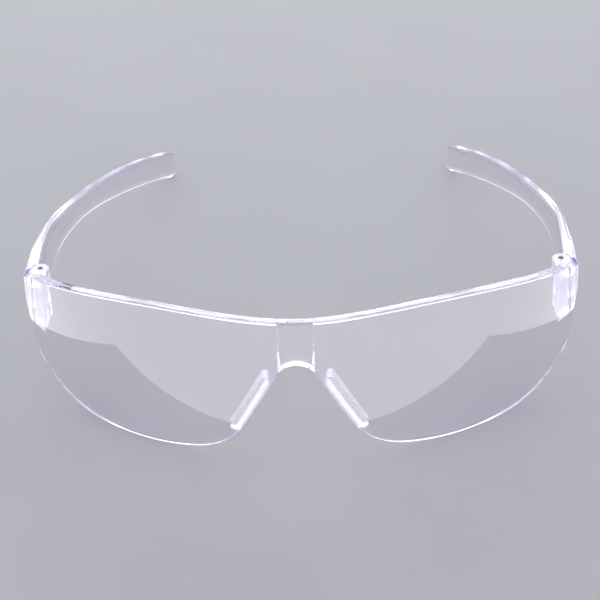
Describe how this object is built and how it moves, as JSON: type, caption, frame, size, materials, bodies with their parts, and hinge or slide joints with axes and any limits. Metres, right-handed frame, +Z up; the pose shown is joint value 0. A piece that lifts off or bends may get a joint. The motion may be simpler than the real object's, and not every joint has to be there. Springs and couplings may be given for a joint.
{
  "type": "safety glasses",
  "caption": "Clear frameless wraparound safety glasses: a ball-shaped moulded lens with brow rim and nose pads, and folding temples on steel pins.",
  "frame": {"origin": "middle of the footprint of the unfolded glasses, on the surface they stand on", "axes": "+X to the wearer's left, +Y from the lens towards the ears, +Z up"},
  "size_m": [0.1464, 0.158, 0.0434],
  "materials": {
    "clear_polycarbonate": "clear gloss",
    "pin_steel": "satin"
  },
  "bodies": {
    "front": {"lens": "clear_polycarbonate", "hinge_pin_left": "pin_steel", "hinge_pin_right": "pin_steel"},
    "left_temple": {"temple_left": "clear_polycarbonate"},
    "right_temple": {"temple_right": "clear_polycarbonate"}
  },
  "joints": [
    {"name": "left_fold", "type": "hinge", "parent": "front", "child": "left_temple", "pos_m": [0.0686, -0.03805, 0.0283], "axis": [0, 0, 1], "range_deg": [0, 86]},
    {"name": "right_fold", "type": "hinge", "parent": "front", "child": "right_temple", "pos_m": [-0.0686, -0.03805, 0.0283], "axis": [0, 0, -1], "range_deg": [0, 74]}
  ]
}
